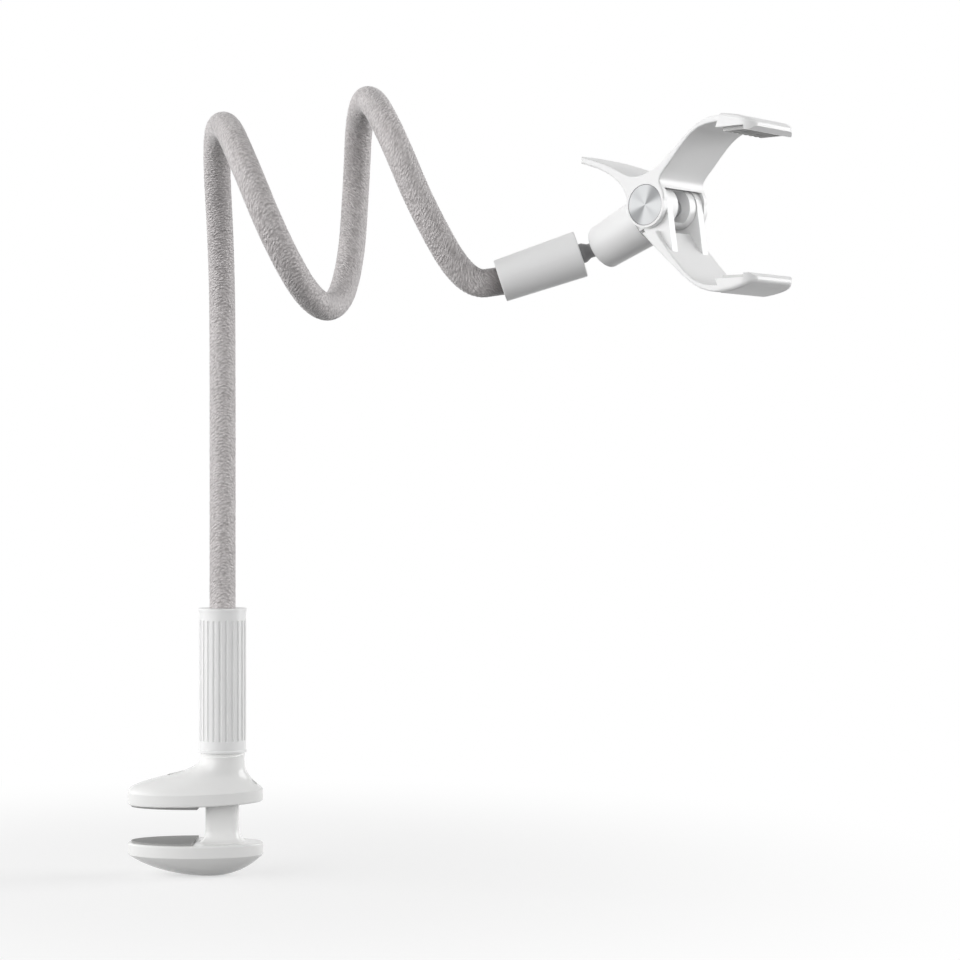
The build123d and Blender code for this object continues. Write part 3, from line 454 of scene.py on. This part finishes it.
# Hinge discs: spun aluminium discs glued into the lugs' recesses, one on each side.
# The spinning marks are fine rings about the pivot; the bright and dull wedges across each disc are painted
# reflection.
ALUMINIUM_PAINTED_FANS = ("#737475", "#A2A3A4")                # painted reflection: the dull fans and the bright ones
ALUMINIUM_GLOSS = (0.30, 0.40)
DISC_STAIN = 0.004          # width of the stains that vary the gloss
REFLECTION_FAN_ENDS = (-2.0, 1.0)      # where the painted reflection's wave is dullest and brightest
SPUN_STRETCH, SPUN_TURN = 0.7, 0.25               # gloss across the rings: a quarter turn from along them
DISC_RINGS, DISC_SPOKES = 56, 96
RING_DEPTH = 0.000012
RIM_SHARE = 0.3             # the rolled rim's radius, in thicknesses
RIM_ANGLES = np.radians([30, 60, 90])


def spun_disc(name, node, side):
    """Disc about an axis along X: radius by ring and angle by spoke, its face turned in rings, its rim
    rolled over by a quarter circle down to the recess. r and h are the radius and height of each
    ring, and cos 4a + sin 2a by spoke gives the bright and dull fans of painted reflection."""
    low, high = (np.array(corner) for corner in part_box(node))
    middle = (low + high) / 2
    radius, thick = (high[1] - low[1]) / 2, high[0] - low[0]
    rim = thick * RIM_SHARE
    along = np.linspace(0.0, 1.0, DISC_RINGS)[1:]
    r = np.concatenate([along * (radius - rim), radius - rim + rim * np.sin(RIM_ANGLES), [radius]])
    turned = RING_DEPTH * np.cos(np.arange(1, DISC_RINGS) * np.pi)
    h = np.concatenate([turned, rim * (np.cos(RIM_ANGLES) - 1), [-thick]])
    angle = np.linspace(0, 2 * np.pi, DISC_SPOKES, endpoint=False)
    face = high[0] if side > 0 else low[0]
    points = np.empty((len(r), DISC_SPOKES, 3))
    points[:, :, 0] = face + side * h[:, None]
    points[:, :, 1] = middle[1] - side * r[:, None] * np.cos(angle)
    points[:, :, 2] = middle[2] + r[:, None] * np.sin(angle)
    caps = np.array([[face, middle[1], middle[2]], [face - side * thick, middle[1], middle[2]]])
    disc = grid_mesh(name, points, caps)
    # painted reflection: bright and dull fans by spoke
    fans = np.broadcast_to(np.cos(4 * angle) + np.sin(2 * angle), (len(r), DISC_SPOKES))
    give_points(disc, "reflection_fans", fans, [0, 0])
    return disc


def spun_aluminium():
    """Bare spun aluminium: fans of bright and dull painted reflection, and gloss stretched across the
    spinning rings.
    """
    material, tree = new_material("spun_aluminium")
    place = add(tree, "TexCoord").outputs["Object"]
    stain = add(tree, "TexNoise", {"Vector": place, "Scale": 1 / DISC_STAIN, "Detail": 4.0}).outputs[0]
    # painted reflection: the tone goes from dull to bright with the fans
    reflection_fans = add(tree, "Attribute", attribute_name="reflection_fans").outputs["Fac"]
    share = add(tree, "MapRange", {"Value": reflection_fans, "From Min": REFLECTION_FAN_ENDS[0], "From Max": REFLECTION_FAN_ENDS[1]},
                interpolation_type="SMOOTHSTEP")
    tone = add(tree, "Mix", {0: share.outputs[0], 6: linear(ALUMINIUM_PAINTED_FANS[0]), 7: linear(ALUMINIUM_PAINTED_FANS[1])},
               data_type="RGBA")
    gloss = add(tree, "MapRange", {
        "Value": stain, "To Min": ALUMINIUM_GLOSS[0], "To Max": ALUMINIUM_GLOSS[1]})
    round_axis = add(tree, "Tangent", direction_type="RADIAL", axis="X").outputs[0]
    shader = add(tree, "BsdfPrincipled", {
        "Base Color": tone.outputs[2], "Roughness": gloss.outputs[0], "Metallic": 1.0,
        "Anisotropic": SPUN_STRETCH, "Anisotropic Rotation": SPUN_TURN, "Tangent": round_axis})
    add(tree, "OutputMaterial", {"Surface": shader.outputs[0]})
    return material


disc_metal = spun_aluminium()
for disc_name, disc_node, disc_side in (
        ("left_pivot_disc", "left_disc", -1), ("right_pivot_disc", "right_disc", 1)):
    disc = spun_disc(disc_name, disc_node, disc_side)
    disc.data.materials.append(disc_metal)
    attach(disc, "upper_clip")
    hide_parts(disc_node)


# Studio: a pale floor under the clamp, a white cove that is brighter at the level of the part and on
# the left than overhead, a wide soft lamp on the left and a smaller one on the right.
CAMERA_AT = (-1.0518, -1.0658, 0.1876)
LENS = 97.09                # on the default 36 mm sensor
AIM = np.array([0.02, -0.12, 0.20])
LAMPS = {                   # way across, along and up in the view, distance, width and height, watts
    "left_softbox": ((-0.90, -0.35, 0.22), 1.7, (3.0, 1.4), 20.5),
    "right_softbox": ((0.88, 0.20, 0.20), 1.8, (1.2, 1.2), 17.0)}
WHITE = (1, 1, 1, 1)
COVE_LEVEL = 1.80           # strength at the level of the part
COVE_FALL = 2.0             # power by which that falls to nothing overhead
COVE_LEFT = 0.52            # strength that the left side adds
FLOOR_SIZE = 8.0
FLOOR_FADE = (0.12, 0.5)    # from the middle, where the floor goes over into plain white
FLOOR_BOUNCE = ("#A0A0A0", "#686868")             # what it throws up at the part, near and far
FLOOR_SHADOW = "#BBBBBB"    # the near floor's paint, which keeps the shadow
FLOOR_GLOW = 0.55           # what is added to it, so that it comes out pale

camera = bpy.data.objects.new("camera", bpy.data.cameras.new("camera"))
camera.location = CAMERA_AT
camera.rotation_euler = (radians(90), 0, VIEW_YAW)
camera.data.lens = LENS
camera.data.clip_end = 100
bpy.context.scene.collection.objects.link(camera)
bpy.context.scene.camera = camera

for lamp_name, (way, distance, (width, tall), watts) in LAMPS.items():
    lamp = bpy.data.lights.new(lamp_name, "AREA")
    lamp.shape = "RECTANGLE"
    lamp.size, lamp.size_y = width, tall
    lamp.energy = watts
    holder = bpy.data.objects.new(lamp_name, lamp)
    towards = unit(turn @ way)
    holder.location = AIM + towards * distance
    holder.rotation_euler = Vector(-towards).to_track_quat("-Z", "Y").to_euler()
    bpy.context.scene.collection.objects.link(holder)


def shown_rays(tree):
    """One on rays that show a thing, from the camera or by way of gloss or glass, and nought on others."""
    ray = add(tree, "LightPath").outputs
    shown = add(tree, "Math", {0: ray["Is Camera Ray"], 1: ray["Is Glossy Ray"]}, operation="MAXIMUM")
    shown = add(tree, "Math", {0: shown.outputs[0], 1: ray["Is Transmission Ray"]}, operation="MAXIMUM")
    return shown.outputs[0]


world = bpy.data.worlds.new("white_cove")
world.use_nodes = True
cove = world.node_tree
cove.nodes.clear()
looking = add(cove, "TexCoord").outputs["Generated"]
height = add(cove, "SeparateXYZ", {0: looking}).outputs["Z"]
low = add(cove, "MapRange", {"Value": height, "From Min": 1.0, "From Max": 0.0}).outputs[0]
level = add(cove, "Math", {0: low, 1: COVE_FALL}, operation="POWER").outputs[0]
level = add(cove, "Math", {0: level, 1: COVE_LEVEL}, operation="MULTIPLY").outputs[0]
left = tuple(turn @ (-1, 0, 0))
leftward = add(cove, "VectorMath", {0: looking, 1: left}, operation="DOT_PRODUCT").outputs[1]
leftward = add(cove, "Math", {0: leftward, 1: 0.0}, operation="MAXIMUM").outputs[0]
level = add(cove, "Math", {0: leftward, 1: COVE_LEFT, 2: level}, operation="MULTIPLY_ADD").outputs[0]
strength = add(cove, "Mix", {0: shown_rays(cove), 2: level, 3: 1.0}, data_type="FLOAT").outputs[0]
sky = add(cove, "Background", {"Color": WHITE, "Strength": strength})
add(cove, "OutputWorld", {"Surface": sky.outputs[0]})
bpy.context.scene.world = world

floor_z = cad_box[0][2]
half = FLOOR_SIZE / 2
floor_mesh = bpy.data.meshes.new("floor")
corners = [(-half, -half, floor_z), (half, -half, floor_z), (half, half, floor_z), (-half, half, floor_z)]
floor_mesh.from_pydata(corners, [], [(0, 1, 2, 3)])
floor = bpy.data.objects.new("floor", floor_mesh)
bpy.context.scene.collection.objects.link(floor)
paint, coat = new_material("pale_floor")
spot = add(coat, "TexCoord").outputs["Object"]
reach = add(coat, "VectorMath", {0: spot}, operation="LENGTH").outputs["Value"]
fade = add(coat, "MapRange", {"Value": reach, "From Min": FLOOR_FADE[0], "From Max": FLOOR_FADE[1]},
           interpolation_type="SMOOTHSTEP").outputs[0]
lit = add(coat, "Mix", {0: fade, 6: linear(FLOOR_BOUNCE[0]), 7: linear(FLOOR_BOUNCE[1])}, data_type="RGBA")
bounce = add(coat, "BsdfDiffuse", {"Color": lit.outputs[2]}).outputs[0]
shadow = add(coat, "BsdfDiffuse", {"Color": linear(FLOOR_SHADOW)}).outputs[0]
glow = add(coat, "Emission", {"Color": WHITE, "Strength": FLOOR_GLOW}).outputs[0]
plain = add(coat, "Emission", {"Color": WHITE, "Strength": 1.0}).outputs[0]
near = add(coat, "AddShader", {0: shadow, 1: glow}).outputs[0]
shown_floor = add(coat, "MixShader", {0: fade, 1: near, 2: plain}).outputs[0]
whole = add(coat, "MixShader", {0: shown_rays(coat), 1: bounce, 2: shown_floor}).outputs[0]
add(coat, "OutputMaterial", {"Surface": whole})
floor.data.materials.append(paint)

bpy.context.scene.view_settings.view_transform = "Standard"
